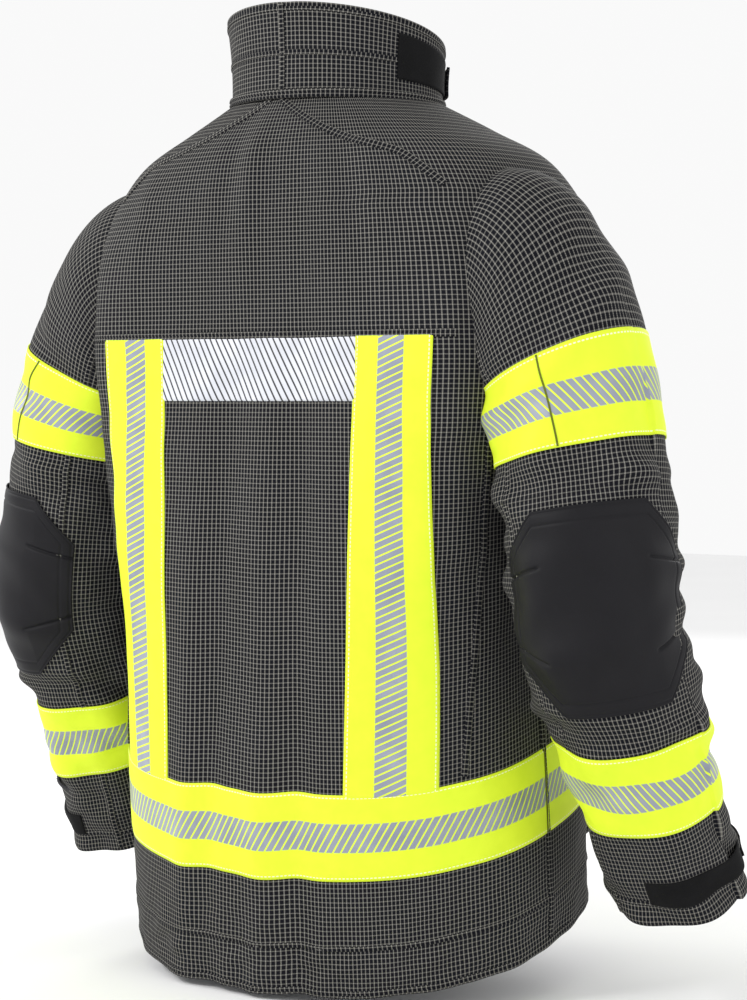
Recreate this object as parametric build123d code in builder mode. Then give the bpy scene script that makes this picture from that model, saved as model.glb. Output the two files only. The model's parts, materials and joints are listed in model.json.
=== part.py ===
"""Turnout coat: torso, sleeves, collar, closures, pockets and bands, each piece a separate solid.

Millimetres. +Z is up, the front faces -Y, the wearer's left is +X. The origin is the centre of
the neck at the height of the collar seam, where the coat sits on a neck or a hanger.
"""

import math
import os

from build123d import *

# ---- driving dimensions ----
SIDE_LENGTH = 747  # collar seam level to hem, at the middle of the coat's depth
LINER_SIDE_LENGTH = 707
BACK_DROP = 70  # how much lower the hem hangs at the back than at the front
HEM_TILT = math.degrees(math.atan2(BACK_DROP, 320))
SHELL = 2.0  # outer shell fabric, seam allowances included
LINER = 3.0  # moisture barrier and quilted lining together
LAYER_GAP = 0.5
TAPE = 1.2
TAPE_WIDTH = 75
NECK_WIDTH, NECK_DEPTH = 91, 86  # half sizes of the opening
COLLAR_HEIGHT_BACK, COLLAR_HEIGHT_FRONT = 85, 55
YOKE_SEAM = -210
SHOULDER_SEAM_Y = 85
FRONT_YOKE = -110
WAIST_BAND_TOP = -583  # at the middle of the coat's depth
PATCH_HEIGHT = 55
BACK_BAND_TOP, BACK_BAND_BOTTOM = 142, 133  # distance of the upright bands from the centre

# height, half width, front, back of the torso; the front edge is straight below the yoke
FRONT_TOP, FRONT_SLOPE = -148, 0.0765
TORSO_STATIONS = [
    (0, 97, -92, 92),
    (-30, 148, -116, 108),
    (-62, 194, -136, 122),
    (-110, 214, FRONT_TOP, 134),
    (-210, 212, None, 140),
    (-320, 200, None, 136),
    (-430, 206, None, 132),
    (-600, 222, None, 134),
    (-800, 228, None, 124),
]

# height, centre x, centre y, half width, half depth of the left sleeve
SLEEVE_STATIONS = [
    (-62, 224, 14, 28, 40),
    (-85, 236, 16, 56, 72),
    (-130, 250, 18, 80, 90),
    (-200, 262, 20, 82, 88),
    (-290, 285, 30, 75, 79),
    (-360, 294, 38, 73, 76),
    (-430, 299, 43, 71, 74),
    (-500, 302, 32, 69, 72),
    (-570, 304, 8, 65, 69),
    (-640, 305, -24, 62, 66),
    (-740, 306, -70, 62, 66),
]
ELBOW = (299, 43, -430)
SLEEVE_HEAD_END = -232
ELBOW_REACH = 80  # half height of the elbow's folding zone at the inside of the bend
CUFF_CENTRE = (305.5, -50, -690)
FOREARM_TILT = 19.9  # the forearm leans forwards
FOREARM = Plane(
    origin=CUFF_CENTRE,
    x_dir=(1, 0, 0),
    z_dir=(0, math.sin(math.radians(FOREARM_TILT)), math.cos(math.radians(FOREARM_TILT))),
)
UPPER_BAND_TOP = -232
LOWER_BAND_FROM_CUFF = 76  # bottom edge, along the forearm
CUFF_STRIP_FROM_CUFF, CUFF_STRIP_WIDTH = 17, 21
WRIST_HOLE, WRISTLET_WALL, WRISTLET_LENGTH = 38, 4, 60
WRISTLET_DEPTH = 6  # how far its mouth stays inside the cuff
PAD_FACING, PAD_HALF_ANGLE = 33, 76  # degrees from straight back, towards the outside
PAD_TOP, PAD_BOTTOM = -351, -508
PAD_THICKNESS = 3.5

ZIP_LENGTH = 575
ZIP_PITCH = 6
TOOTH = (3.4, 2.2, 1.8)  # across, along, proud of the tape
SLIDER = (13, 22)
PULL_LENGTH = 27
FLAP_TOP = -32  # along the front edge, from the front yoke
FLAP_LENGTH = 560
FLAP_HEIGHT = 9.6  # clear of the slider and its pull
FLAP_THICKNESS = 3
FLAP_EDGE = 38  # its sewn side, left of centre

POCKET_X = (62, 176)
POCKET_Z = (-662, -510)
POCKET_DEPTH = 24
POCKET_WALL = 2.5
HEADER_Z = (-487, -480)
POCKET_FLAP_Z = (-534, -488)
RADIO_X, RADIO_Z, RADIO_DEPTH = (72, 148), (-330, -190), 30
RADIO_FLAP_Z = (-226, -168)
RADIO_HEADER_Z = (-167, -160)

HUGE = 900
PARTS = "parts"
os.makedirs(PARTS, exist_ok=True)


def save(builder, name):
    """Labels a finished sub-part and writes it as its own file."""
    builder.part.label = name
    export_step(builder.part, f"{PARTS}/{name}.step")


def front_y(height):
    """The straight front edge's y at a height below the front yoke."""
    return FRONT_TOP + FRONT_SLOPE * (height - FRONT_YOKE)


def torso_form(inset):
    """The torso as one closed form, its surface moved inwards by inset."""
    with BuildPart() as form:
        for height, half_width, front, back in TORSO_STATIONS:
            front = front_y(height) if front is None else front
            drop = inset if height > -100 else 0  # the shoulders face upwards
            with BuildSketch(Plane((0, (front + back) / 2, height - drop))):
                Ellipse(half_width - inset, (back - front) / 2 - inset)
        loft(ruled=True)
    return form.part


def sleeve_form(inset, side):
    """One sleeve as a closed form; side is 1 for the wearer's left and -1 for the right."""
    with BuildPart() as form:
        for height, x, y, half_width, half_depth in SLEEVE_STATIONS:
            drop = inset if height > -100 else 0
            with BuildSketch(Plane((side * x, y, height - drop))):
                Ellipse(half_width - inset, half_depth - inset)
        loft(ruled=True)
    return form.part


def window(x_range, z_range, y_range=(-HUGE, HUGE), mode=Mode.INTERSECT):
    """Keeps or cuts what lies in a box."""
    with BuildSketch(Plane((0, 0, z_range[0]))) as base:
        with Locations((sum(x_range) / 2, sum(y_range) / 2)):
            Rectangle(x_range[1] - x_range[0], y_range[1] - y_range[0])
    extrude(base.sketch, amount=z_range[1] - z_range[0], mode=mode)


def tilted_slab(top, height, tilt=HEM_TILT, mode=Mode.INTERSECT):
    """Keeps what lies between two planes that fall towards the back, top at y = 0."""
    with BuildSketch(Plane.XY.offset(top - height).rotated((-tilt, 0, 0))) as base:
        Rectangle(2 * HUGE, 2 * HUGE)
    extrude(base.sketch, amount=height, mode=mode)


def layer(outer, inner):
    """The material between two closed forms."""
    add(outer)
    add(inner, mode=Mode.SUBTRACT)


def mirrored(x_range, side):
    return tuple(sorted((side * x_range[0], side * x_range[1])))


# ---- shared forms ----
TORSO = torso_form(0)
TORSO_INSIDE = torso_form(SHELL)
TORSO_CLEAR = torso_form(-1.0)
TAPE_IN = torso_form(-LAYER_GAP)
TAPE_OUT = torso_form(-LAYER_GAP - TAPE)
POCKET_BACK_IN = torso_form(-1.0)

with BuildPart() as torso_wall:
    layer(TORSO, TORSO_INSIDE)
    with BuildSketch(Plane.XY.offset(-40)):
        Ellipse(NECK_WIDTH, NECK_DEPTH)
    extrude(amount=80, mode=Mode.SUBTRACT)
    tilted_slab(HUGE - SIDE_LENGTH, HUGE)
    for side in (1, -1):
        add(sleeve_form(SHELL + 0.5, side), mode=Mode.SUBTRACT)
TORSO_WALL = torso_wall.part

with BuildPart() as torso_liner:
    layer(torso_form(SHELL + LAYER_GAP), torso_form(SHELL + LAYER_GAP + LINER))
    with BuildSketch(Plane.XY.offset(-60)):
        Ellipse(NECK_WIDTH, NECK_DEPTH)
    extrude(amount=100, mode=Mode.SUBTRACT)
    tilted_slab(HUGE - LINER_SIDE_LENGTH, HUGE)
    window((-16, 16), (-HUGE, HUGE), (-HUGE, 0), mode=Mode.SUBTRACT)
    for side in (1, -1):
        add(sleeve_form(SHELL + 0.5, side), mode=Mode.SUBTRACT)
save(torso_liner, "torso_liner")

# ---- outer shell panels ----
with BuildPart() as back_yoke:
    add(TORSO_WALL)
    window((-HUGE, HUGE), (YOKE_SEAM, 10), (0, HUGE))
    window((-HUGE, HUGE), (FRONT_YOKE, 10), (-1, SHOULDER_SEAM_Y), mode=Mode.SUBTRACT)
save(back_yoke, "back_yoke")

with BuildPart() as back_panel:
    add(TORSO_WALL)
    window((-HUGE, HUGE), (-HUGE, YOKE_SEAM), (0, HUGE))
save(back_panel, "back_panel")

for side, name in ((1, "left"), (-1, "right")):
    with BuildPart() as shoulder_panel:
        add(TORSO_WALL)
        window(mirrored((3, HUGE), side), (FRONT_YOKE, 10), (-HUGE, SHOULDER_SEAM_Y))
    save(shoulder_panel, f"shoulder_panel_{name}")

    with BuildPart() as front_panel:
        add(TORSO_WALL)
        window(mirrored((3, HUGE), side), (-HUGE, FRONT_YOKE), (-HUGE, 0))
    save(front_panel, f"front_panel_{name}")

# ---- collar ----
COLLAR_WALL, COLLAR_FACING = 4.0, 2.5
COLLAR_FLARE = 5
COLLAR_TILT = math.degrees(math.atan2(COLLAR_HEIGHT_BACK - COLLAR_HEIGHT_FRONT, 190))


def collar_form(inset):
    """The stand-up collar's closed form, a little wider at the top."""
    with BuildPart() as form:
        for height, flare in ((0.3, 0), (45, 2), (95, COLLAR_FLARE)):
            with BuildSketch(Plane.XY.offset(height)):
                Ellipse(NECK_WIDTH + 8 + flare - inset, NECK_DEPTH + 8 + flare - inset)
        loft(ruled=True)
    return form.part


def sector(start, end, radius=300, centre=(0, 0)):
    """A pie slice between two angles, measured from straight back towards the wearer's left."""
    middle = (start + end) / 2
    rays = [
        (radius * math.sin(math.radians(a)), radius * math.cos(math.radians(a)))
        for a in (start, middle, end)
    ]
    corners = [centre] + [(centre[0] + x, centre[1] + y) for x, y in rays]
    with BuildSketch(Plane.XY.offset(-HUGE)) as slice_face:
        with BuildLine():
            Polyline(*corners, close=True)
        make_face()
    extrude(slice_face.sketch, amount=2 * HUGE, mode=Mode.INTERSECT)


def collar_trim():
    """Cuts the collar's top, lower at the front, and leaves it open at the front."""
    middle = (COLLAR_HEIGHT_BACK + COLLAR_HEIGHT_FRONT) / 2
    with BuildSketch(Plane.XY.offset(middle).rotated((COLLAR_TILT, 0, 0))) as cut:
        Rectangle(HUGE, HUGE)
    extrude(cut.sketch, amount=200, mode=Mode.SUBTRACT)
    window((-4, 4), (-1, HUGE), (-HUGE, 0), mode=Mode.SUBTRACT)


with BuildPart() as collar:
    layer(collar_form(0), collar_form(COLLAR_WALL))
    collar_trim()
save(collar, "collar")

with BuildPart() as collar_facing:
    layer(collar_form(COLLAR_WALL + 0.3), collar_form(COLLAR_WALL + 0.3 + COLLAR_FACING))
    collar_trim()
save(collar_facing, "collar_facing")

PATCH_START, PATCH_END = -68, -150
with BuildPart() as collar_loop_patch:
    layer(collar_form(-1.8), collar_form(-0.3))
    sector(PATCH_END, PATCH_START)
    with BuildSketch(Plane.XY.offset(12).rotated((COLLAR_TILT, 0, 0))):
        Rectangle(HUGE, HUGE)
    extrude(amount=33, mode=Mode.INTERSECT)
save(collar_loop_patch, "collar_loop_patch")

TAB_HINGE_ANGLE, TAB_END_ANGLE = 150, 232
with BuildPart() as throat_tab:
    layer(collar_form(-5.5), collar_form(-2.8))
    sector(TAB_HINGE_ANGLE, TAB_END_ANGLE)
    with BuildSketch(Plane.XY.offset(13).rotated((COLLAR_TILT, 0, 0))):
        Rectangle(HUGE, HUGE)
    extrude(amount=31, mode=Mode.INTERSECT)
save(throat_tab, "throat_tab")

LOOP_BAR = 3
with BuildPart() as hanger_loop:
    with BuildLine():
        loop_path = ThreePointArc((-32, 78, -4), (0, 60, -16), (32, 78, -4))
    with BuildSketch(Plane(loop_path @ 0, z_dir=loop_path % 0)):
        Circle(LOOP_BAR / 2)
    sweep()
save(hanger_loop, "hanger_loop")

# ---- front closure, laid out in the plane of the straight front edge ----
slant = math.atan(FRONT_SLOPE)
FRONT = Plane(
    origin=(0, FRONT_TOP, FRONT_YOKE),
    x_dir=(1, 0, 0),
    z_dir=(0, -math.cos(slant), math.sin(slant)),
)
TAPE_BASE = 0.8


def front_block(x_range, along, rise, mode=Mode.ADD):
    """A block on the front: across, along the edge and out from it."""
    with BuildSketch(FRONT.offset(rise[0])) as base:
        with Locations((sum(x_range) / 2, sum(along) / 2)):
            Rectangle(x_range[1] - x_range[0], along[1] - along[0])
    extrude(base.sketch, amount=rise[1] - rise[0], mode=mode)


for side, name in ((1, "left"), (-1, "right")):
    with BuildPart() as zipper_tape:
        front_block(mirrored((1.8, 16), side), (-ZIP_LENGTH - 10, 16), (TAPE_BASE, TAPE_BASE + 1))
    save(zipper_tape, f"zipper_tape_{name}")

    teeth_base = TAPE_BASE + 1
    tooth_count = ZIP_LENGTH // ZIP_PITCH
    shift = 0 if side == 1 else ZIP_PITCH / 2
    with BuildPart() as zipper_teeth:
        with BuildSketch(FRONT.offset(teeth_base)):
            with Locations((side * 2.9, (14 - ZIP_LENGTH) / 2)):
                Rectangle(1.2, ZIP_LENGTH)
            with Locations((side * 0.9, (8 - ZIP_LENGTH) / 2 + shift)):
                with GridLocations(1, ZIP_PITCH, 1, tooth_count - 2):
                    Rectangle(TOOTH[0], TOOTH[1])
        extrude(amount=TOOTH[2])
    save(zipper_teeth, f"zipper_teeth_{name}")

PIVOT_RISE = 7.2
PIVOT_RADIUS = 0.9
slider_base = TAPE_BASE + 1 + TOOTH[2] + 0.4
with BuildPart() as zipper_slider:
    front_block((-SLIDER[0] / 2, SLIDER[0] / 2), (-SLIDER[1], 0), (slider_base, slider_base + 1.2))
    for side in (1, -1):
        front_block(
            mirrored((4.2, SLIDER[0] / 2), side),
            (-SLIDER[1], 0),
            (TAPE_BASE + 1.4, slider_base + 0.2),
        )
        front_block(mirrored((2.6, 3.8), side), (-10, -4), (slider_base + 1, PIVOT_RISE + 1.2))
    with BuildSketch(Plane(FRONT.from_local_coords((-3.2, -7, PIVOT_RISE)), z_dir=(1, 0, 0))):
        Circle(PIVOT_RADIUS)
    extrude(amount=6.4)
save(zipper_slider, "zipper_slider")

with BuildPart() as zipper_pull:
    with BuildSketch(Plane(FRONT.from_local_coords((-2.2, -7, PIVOT_RISE)), z_dir=(1, 0, 0))):
        Circle(2.0)
        Circle(PIVOT_RADIUS + 0.25, mode=Mode.SUBTRACT)
    extrude(amount=4.4)
    front_block((-2.2, 2.2), (-14, -8.6), (PIVOT_RISE - 0.8, PIVOT_RISE + 0.8))
    with BuildSketch(FRONT.offset(PIVOT_RISE - 0.8)):
        with Locations((0, -7 - PULL_LENGTH / 2 - 4)):
            RectangleRounded(9, PULL_LENGTH - 8, 2.5)
        with Locations((0, -PULL_LENGTH - 1)):
            Circle(2, mode=Mode.SUBTRACT)
    extrude(amount=1.6)
save(zipper_pull, "zipper_pull")

FLAP_FREE_EDGE = -34
flap_points = [
    (FLAP_EDGE - 0.6, FLAP_HEIGHT),
    (-15, FLAP_HEIGHT),
    (FLAP_FREE_EDGE, 2.0),
    (FLAP_FREE_EDGE, 2.0 + FLAP_THICKNESS),
    (-14, FLAP_HEIGHT + FLAP_THICKNESS),
    (FLAP_EDGE - 0.6, FLAP_HEIGHT + FLAP_THICKNESS),
]
FLAP_END = FRONT.from_local_coords((0, FLAP_TOP - FLAP_LENGTH, 0))
FLAP_SECTION = Plane(origin=FLAP_END, x_dir=(1, 0, 0), z_dir=FRONT.y_dir)
with BuildPart() as storm_flap:
    with BuildSketch(FLAP_SECTION):
        with BuildLine():
            Polyline(*[(x, -rise) for x, rise in flap_points], close=True)
        make_face()
    extrude(amount=FLAP_LENGTH)
save(storm_flap, "storm_flap")

with BuildPart() as storm_flap_seam:
    front_block(
        (FLAP_EDGE, FLAP_EDGE + 8),
        (FLAP_TOP - FLAP_LENGTH, FLAP_TOP),
        (-0.4, FLAP_HEIGHT + FLAP_THICKNESS),
    )
save(storm_flap_seam, "storm_flap_seam")

band_rise = FLAP_HEIGHT + FLAP_THICKNESS + 0.3
band_top_along = WAIST_BAND_TOP - FRONT_YOKE + 43  # in line with the waist band beside it
with BuildPart() as storm_flap_band:
    front_block(
        (-13, FLAP_EDGE - 1),
        (band_top_along - TAPE_WIDTH, band_top_along),
        (band_rise, band_rise + TAPE),
    )
save(storm_flap_band, "storm_flap_band")

# ---- pockets on the fronts ----


def pocket_bag(x_range, z_range, depth, header):
    """A bellows pocket, open at the top, with the strip that its flap is sewn to."""
    inner_x = (x_range[0] + POCKET_WALL, x_range[1] - POCKET_WALL)
    with BuildPart() as room:
        layer(torso_form(-depth + POCKET_WALL), torso_form(-1 - POCKET_WALL))
        window(inner_x, (z_range[0] + POCKET_WALL, HUGE), (-HUGE, 0))
    with BuildPart() as strip:
        layer(torso_form(-depth - 3.5), POCKET_BACK_IN)
        window((x_range[0] - 2, x_range[1] + 2), header, (-HUGE, 0))
    with BuildPart() as bag:
        layer(torso_form(-depth), POCKET_BACK_IN)
        window(x_range, z_range, (-HUGE, 0))
        add(room.part, mode=Mode.SUBTRACT)
        add(strip.part)
    return bag


def pocket_lid(x_range, z_range, depth):
    """The flap that hangs over a pocket's mouth."""
    with BuildPart() as lid:
        layer(torso_form(-depth - 3.5), torso_form(-depth - 0.7))
        window((x_range[0] - 2, x_range[1] + 2), z_range, (-HUGE, 0))
    return lid


for side, name in ((1, "left"), (-1, "right")):
    x_range = mirrored(POCKET_X, side)
    save(pocket_bag(x_range, POCKET_Z, POCKET_DEPTH, HEADER_Z), f"waist_pocket_{name}")
    save(pocket_lid(x_range, POCKET_FLAP_Z, POCKET_DEPTH), f"waist_pocket_flap_{name}")

    with BuildPart() as pocket_band:
        layer(torso_form(-POCKET_DEPTH - 0.3 - TAPE), torso_form(-POCKET_DEPTH - 0.3))
        window(x_range, (-HUGE, HUGE), (-HUGE, 0))
        tilted_slab(WAIST_BAND_TOP, TAPE_WIDTH)
    save(pocket_band, f"waist_pocket_band_{name}")

save(pocket_bag(RADIO_X, RADIO_Z, RADIO_DEPTH, RADIO_HEADER_Z), "radio_pocket")
save(pocket_lid(RADIO_X, RADIO_FLAP_Z, RADIO_DEPTH), "radio_pocket_flap")

# ---- bands on the torso ----
with BuildPart() as waist_band:
    layer(TAPE_OUT, TAPE_IN)
    tilted_slab(WAIST_BAND_TOP, TAPE_WIDTH)
    window((-FLAP_EDGE, FLAP_EDGE + 9), (-HUGE, HUGE), (-HUGE, 0), mode=Mode.SUBTRACT)
    for side in (1, -1):
        pocket_gap = mirrored((POCKET_X[0] - 1, POCKET_X[1] + 1), side)
        window(pocket_gap, (-HUGE, HUGE), (-HUGE, -40), mode=Mode.SUBTRACT)
save(waist_band, "waist_band")


def upright_band(side, top, top_x, bottom, bottom_x, y_range):
    """A band running down the torso between two heights."""
    with BuildPart() as band:
        layer(TAPE_OUT, TAPE_IN)
        with BuildSketch(Plane.XZ):
            with BuildLine():
                Polyline(
                    (side * (top_x - TAPE_WIDTH / 2), top),
                    (side * (top_x + TAPE_WIDTH / 2), top),
                    (side * (bottom_x + TAPE_WIDTH / 2), bottom),
                    (side * (bottom_x - TAPE_WIDTH / 2), bottom),
                    close=True,
                )
            make_face()
        extrude(amount=HUGE, both=True, mode=Mode.INTERSECT)
        window((-HUGE, HUGE), (-HUGE, HUGE), y_range)
    return band


back_band_bottom = WAIST_BAND_TOP - 14  # clear of the waist band, which falls towards the back
front_band_bottom = HEADER_Z[1] + 4
for side, name in ((1, "left"), (-1, "right")):
    back_band = upright_band(
        side, YOKE_SEAM, BACK_BAND_TOP, back_band_bottom, BACK_BAND_BOTTOM, (20, HUGE)
    )
    save(back_band, f"back_band_{name}")
    front_top = RADIO_Z[0] - 2
    front_band = upright_band(side, front_top, 112, front_band_bottom, 116, (-HUGE, -20))
    save(front_band, f"front_band_{name}")

with BuildPart() as back_patch:
    layer(TAPE_OUT, TAPE_IN)
    patch_half = BACK_BAND_TOP - TAPE_WIDTH / 2 - 2
    window((-patch_half, patch_half), (YOKE_SEAM - PATCH_HEIGHT, YOKE_SEAM), (0, HUGE))
save(back_patch, "back_patch")

# ---- sleeves ----


def elbow_wedge(side, margin, mode):
    """The folding zone: wide at the inside of the bend, closed to a slit at its back."""
    x, y, z = ELBOW
    with BuildSketch(Plane.YZ.offset(side * x - HUGE / 8)) as wedge:
        with BuildLine():
            Polyline(
                (y + 120, z + 2 - margin),
                (y, z + 2 - margin),
                (y - 100, z + ELBOW_REACH - margin),
                (y - 100, z - ELBOW_REACH + margin),
                (y, z - 2 + margin),
                (y + 120, z - 2 + margin),
                close=True,
            )
        make_face()
    extrude(wedge.sketch, amount=HUGE / 4, mode=mode)


def cuff_slab(side, low, height, mode=Mode.INTERSECT):
    """Keeps what lies between two planes square to the forearm, low measured from the cuff."""
    plane = Plane(
        origin=(side * CUFF_CENTRE[0], CUFF_CENTRE[1], CUFF_CENTRE[2]),
        x_dir=(1, 0, 0),
        z_dir=FOREARM.z_dir,
    )
    with BuildSketch(plane.offset(low)) as base:
        Rectangle(HUGE, HUGE)
    extrude(base.sketch, amount=height, mode=mode)


def arm_sector(side, start, end, centre):
    """A slice round an arm; angles run from straight back towards the outside."""
    sector(*sorted((side * start, side * end)), centre=(side * centre[0], centre[1]))


def sleeve_pieces(side, name):
    outer, inner = sleeve_form(0, side), sleeve_form(SHELL, side)
    tape_in, tape_out = sleeve_form(-LAYER_GAP, side), sleeve_form(-LAYER_GAP - TAPE, side)

    with BuildPart() as head:
        layer(outer, inner)
        add(TORSO_CLEAR, mode=Mode.SUBTRACT)
        window((-HUGE, HUGE), (SLEEVE_HEAD_END + 0.3, HUGE))
    save(head, f"sleeve_head_{name}")

    with BuildPart() as upper:
        layer(outer, inner)
        add(TORSO_CLEAR, mode=Mode.SUBTRACT)
        window((-HUGE, HUGE), (ELBOW[2], SLEEVE_HEAD_END))
        elbow_wedge(side, 0, Mode.SUBTRACT)
    save(upper, f"sleeve_upper_{name}")

    with BuildPart() as elbow:
        layer(outer, inner)
        elbow_wedge(side, 0.3, Mode.INTERSECT)
    save(elbow, f"sleeve_elbow_{name}")

    with BuildPart() as lower:
        layer(outer, inner)
        window((-HUGE, HUGE), (-HUGE, ELBOW[2]))
        elbow_wedge(side, 0, Mode.SUBTRACT)
        cuff_slab(side, 0, HUGE / 2)
    save(lower, f"sleeve_lower_{name}")

    with BuildPart() as liner_upper:
        layer(sleeve_form(SHELL + LAYER_GAP, side), sleeve_form(SHELL + LAYER_GAP + LINER, side))
        add(torso_form(-3), mode=Mode.SUBTRACT)
        window((-HUGE, HUGE), (ELBOW[2], SLEEVE_HEAD_END))
        elbow_wedge(side, 0, Mode.SUBTRACT)
    save(liner_upper, f"sleeve_liner_upper_{name}")

    with BuildPart() as liner_lower:
        layer(sleeve_form(SHELL + LAYER_GAP, side), sleeve_form(SHELL + LAYER_GAP + LINER, side))
        window((-HUGE, HUGE), (-HUGE, ELBOW[2]))
        elbow_wedge(side, 0, Mode.SUBTRACT)
        cuff_slab(side, WRISTLET_DEPTH + WRISTLET_LENGTH + 0.2, HUGE / 2)
    save(liner_lower, f"sleeve_liner_lower_{name}")

    with BuildPart() as band_upper:
        layer(tape_out, tape_in)
        add(torso_form(-2.5), mode=Mode.SUBTRACT)
        window((-HUGE, HUGE), (UPPER_BAND_TOP - TAPE_WIDTH, UPPER_BAND_TOP))
    save(band_upper, f"sleeve_band_upper_{name}")

    with BuildPart() as band_lower:
        layer(tape_out, tape_in)
        window((-HUGE, HUGE), (-HUGE, ELBOW[2]))
        cuff_slab(side, LOWER_BAND_FROM_CUFF, TAPE_WIDTH)
    save(band_lower, f"sleeve_band_lower_{name}")

    with BuildPart() as pad:
        layer(sleeve_form(-LAYER_GAP - PAD_THICKNESS, side), tape_in)
        window((-HUGE, HUGE), (PAD_BOTTOM, PAD_TOP))
        start, end = PAD_FACING - PAD_HALF_ANGLE, PAD_FACING + PAD_HALF_ANGLE
        arm_sector(side, start, end, (ELBOW[0], ELBOW[1]))
    save(pad, f"elbow_pad_{name}")

    with BuildPart() as cuff_loop:
        layer(tape_out, tape_in)
        window((-HUGE, HUGE), (-HUGE, ELBOW[2]))
        cuff_slab(side, CUFF_STRIP_FROM_CUFF, CUFF_STRIP_WIDTH)
        arm_sector(side, 9, 150, (CUFF_CENTRE[0], CUFF_CENTRE[1] + 8))
    save(cuff_loop, f"cuff_loop_{name}")

    with BuildPart() as cuff_tab:
        layer(sleeve_form(-5.2, side), sleeve_form(-2.6, side))
        window((-HUGE, HUGE), (-HUGE, ELBOW[2]))
        cuff_slab(side, CUFF_STRIP_FROM_CUFF + 1, CUFF_STRIP_WIDTH - 2)
        arm_sector(side, 122, 200, (CUFF_CENTRE[0], CUFF_CENTRE[1] + 8))
    save(cuff_tab, f"cuff_tab_{name}")

    with BuildPart() as wristlet:
        mouth = Plane(
            origin=(side * CUFF_CENTRE[0], CUFF_CENTRE[1], CUFF_CENTRE[2]),
            x_dir=(1, 0, 0),
            z_dir=FOREARM.z_dir,
        ).offset(WRISTLET_DEPTH)
        with BuildSketch(mouth):
            Circle(WRIST_HOLE + WRISTLET_WALL)
            Circle(WRIST_HOLE, mode=Mode.SUBTRACT)
        extrude(amount=WRISTLET_LENGTH)
        with BuildSketch(mouth.offset(WRISTLET_LENGTH - 4)):
            Circle(WRIST_HOLE + 13)
            Circle(WRIST_HOLE, mode=Mode.SUBTRACT)
        extrude(amount=4)
    save(wristlet, f"wristlet_{name}")


for side, name in ((1, "left"), (-1, "right")):
    sleeve_pieces(side, name)
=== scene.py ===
"""Turnout coat: fabric, bands, pads and closures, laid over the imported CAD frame. Metres."""

import json
import math

import bpy
import numpy as np
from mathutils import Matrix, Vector


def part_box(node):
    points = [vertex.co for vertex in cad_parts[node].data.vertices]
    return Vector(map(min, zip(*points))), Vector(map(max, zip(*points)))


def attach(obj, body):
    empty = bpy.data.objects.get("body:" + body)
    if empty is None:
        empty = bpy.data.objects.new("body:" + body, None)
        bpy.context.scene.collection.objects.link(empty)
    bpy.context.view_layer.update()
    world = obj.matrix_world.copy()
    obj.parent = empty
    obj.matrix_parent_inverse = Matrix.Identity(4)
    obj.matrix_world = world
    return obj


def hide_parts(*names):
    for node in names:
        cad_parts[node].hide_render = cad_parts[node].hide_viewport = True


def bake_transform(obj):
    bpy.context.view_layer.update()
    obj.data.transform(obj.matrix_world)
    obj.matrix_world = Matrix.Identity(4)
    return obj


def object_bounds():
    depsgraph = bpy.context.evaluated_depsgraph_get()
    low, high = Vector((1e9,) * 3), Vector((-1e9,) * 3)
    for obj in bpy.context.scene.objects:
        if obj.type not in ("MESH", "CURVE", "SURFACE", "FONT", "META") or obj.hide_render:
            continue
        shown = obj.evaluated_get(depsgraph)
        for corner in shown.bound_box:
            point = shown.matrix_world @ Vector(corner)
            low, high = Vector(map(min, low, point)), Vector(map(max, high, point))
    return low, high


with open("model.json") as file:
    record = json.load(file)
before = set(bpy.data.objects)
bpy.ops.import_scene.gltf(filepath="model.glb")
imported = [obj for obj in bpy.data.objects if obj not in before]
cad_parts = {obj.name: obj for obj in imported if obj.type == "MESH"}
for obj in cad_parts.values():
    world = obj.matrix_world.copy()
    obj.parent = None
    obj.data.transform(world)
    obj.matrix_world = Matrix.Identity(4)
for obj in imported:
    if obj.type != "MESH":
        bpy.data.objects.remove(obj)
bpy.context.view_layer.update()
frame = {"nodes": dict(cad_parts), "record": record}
JOINTS = {j["name"]: j for j in frame["record"]["behaviour"]["joints"]}

TAPE_WIDTH = 0.075
SIDES = ((1, "left"), (-1, "right"))

# ---------------------------------------------------------------- camera, light, floor
CAMERA_AZIMUTH = math.radians(36)  # behind the coat, on the wearer's right
CAMERA_DISTANCE = 2.4
CAMERA_HEIGHT = -0.266
CAMERA_TILT, CAMERA_YAW = math.radians(2.16), math.radians(0.77)
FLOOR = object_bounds()[0][2] - 0.012


def make_camera():
    data = bpy.data.cameras.new("camera")
    data.lens = 95.3
    data.sensor_width = 36
    camera = bpy.data.objects.new("camera", data)
    bpy.context.collection.objects.link(camera)
    camera.location = (
        -CAMERA_DISTANCE * math.sin(CAMERA_AZIMUTH),
        CAMERA_DISTANCE * math.cos(CAMERA_AZIMUTH),
        CAMERA_HEIGHT,
    )
    camera.rotation_euler = (
        math.pi / 2 - CAMERA_TILT,
        0,
        math.pi + CAMERA_AZIMUTH - CAMERA_YAW,
    )
    bpy.context.scene.camera = camera


def area_light(name, location, size, power):
    data = bpy.data.lights.new(name, "AREA")
    data.shape = "DISK"
    data.size = size
    data.energy = power
    light = bpy.data.objects.new(name, data)
    bpy.context.collection.objects.link(light)
    light.location = location
    aim = np.array((0, 0, -0.4)) - np.array(location)
    light.rotation_euler = Vector(aim.tolist()).to_track_quat("-Z", "Y").to_euler()


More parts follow.
